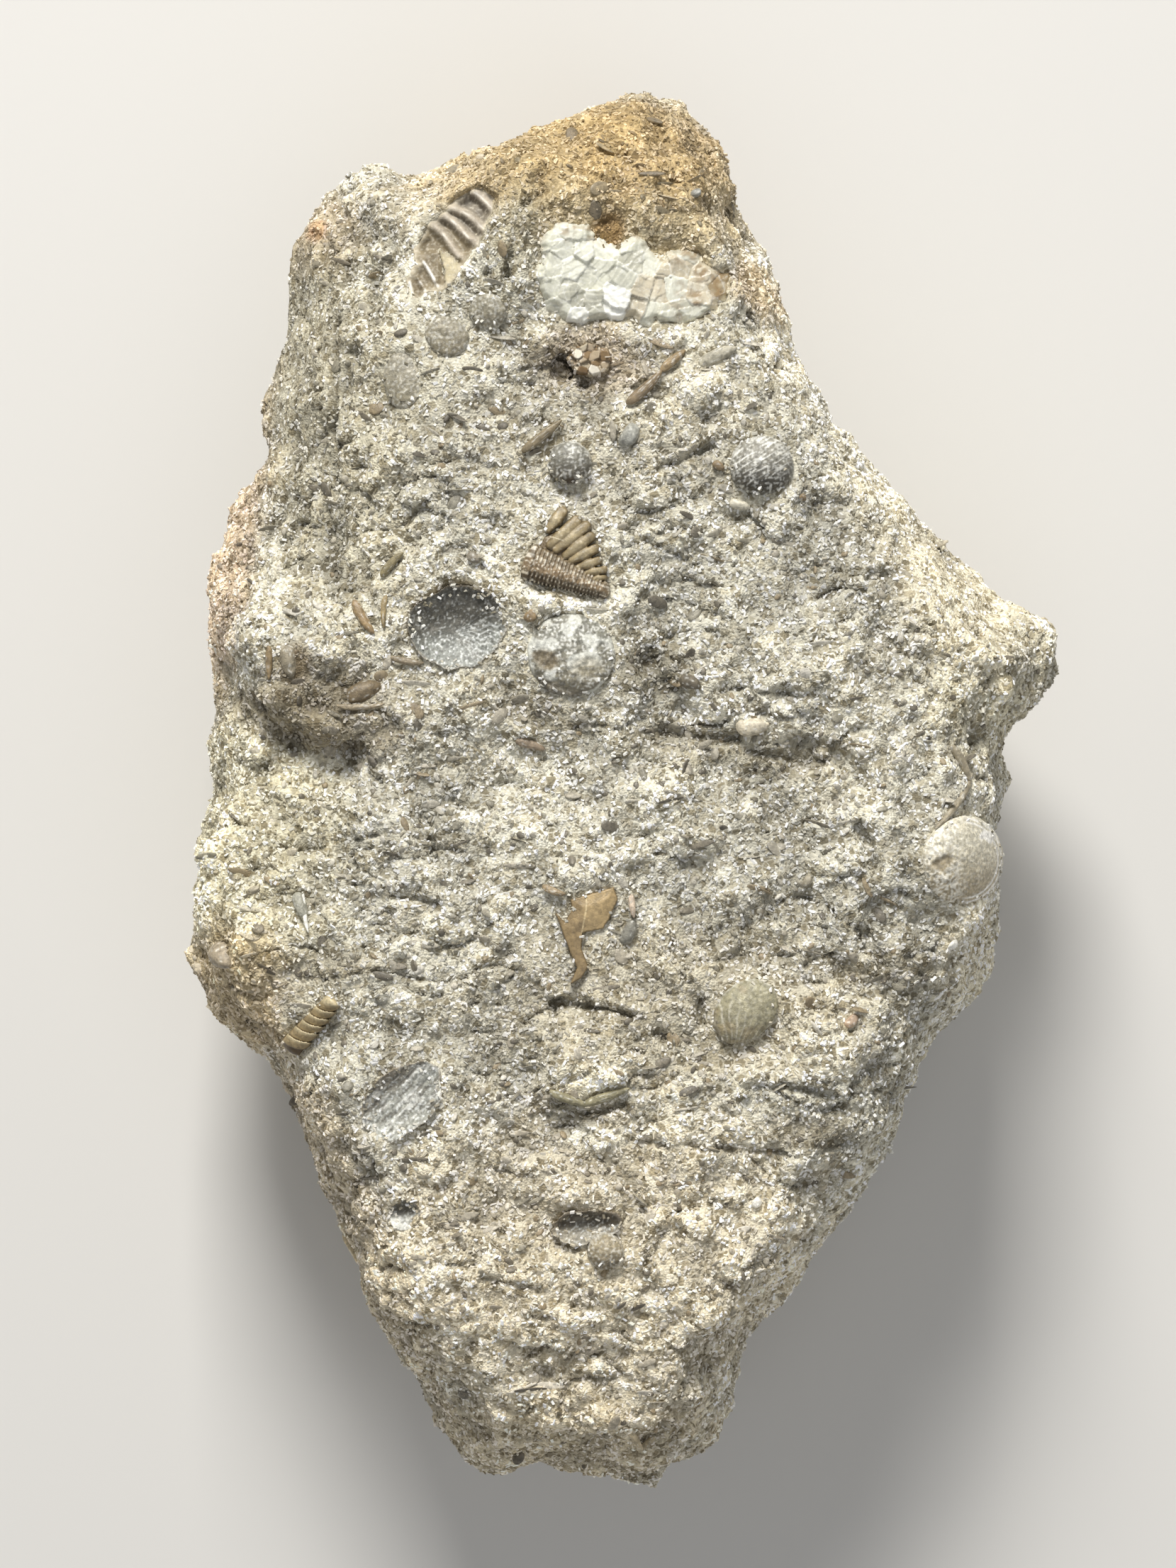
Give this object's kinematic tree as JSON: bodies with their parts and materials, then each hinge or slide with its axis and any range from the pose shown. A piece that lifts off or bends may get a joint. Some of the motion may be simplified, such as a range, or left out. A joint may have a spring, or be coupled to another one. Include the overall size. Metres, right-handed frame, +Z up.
{
  "type": "trilobite fossil in limestone",
  "caption": "Broken slab of fossil-rich limestone with a ribbed trilobite tail and other shell pieces in its face; lies flat on its back.",
  "frame": {"origin": "on the ground under the middle of the stone's box", "axes": "+Z up out of the fossil face, +Y along the stone towards its iron-stained upper end, +X to the right seen from above"},
  "size_m": [0.0533, 0.085, 0.0286],
  "materials": {
    "limestone": "rough broken limestone",
    "trilobite_shell": "smooth brown fossil shell",
    "calcite": "glossy white crystal",
    "rusty_crystal": "iron-stained crystal",
    "grey_shell": "satin grey fossil shell"
  },
  "bodies": {
    "root": {"limestone_matrix": "limestone", "trilobite_tail": "trilobite_shell", "trilobite_segments": "trilobite_shell", "trilobite_cheek": "trilobite_shell", "calcite_crystals": "calcite", "vug_crystals": "rusty_crystal", "shell_ball": "grey_shell", "shell_large": "grey_shell", "shell_coiled": "grey_shell", "shell_oval": "grey_shell", "shell_edge": "grey_shell", "shell_round": "grey_shell", "shell_bump": "grey_shell", "shell_patch": "grey_shell", "shell_ridge": "grey_shell", "shell_crescent": "grey_shell", "spine_upper_lens": "grey_shell", "spine_upper": "trilobite_shell", "spine_middle": "trilobite_shell", "spine_left": "trilobite_shell"}
  },
  "joints": []
}
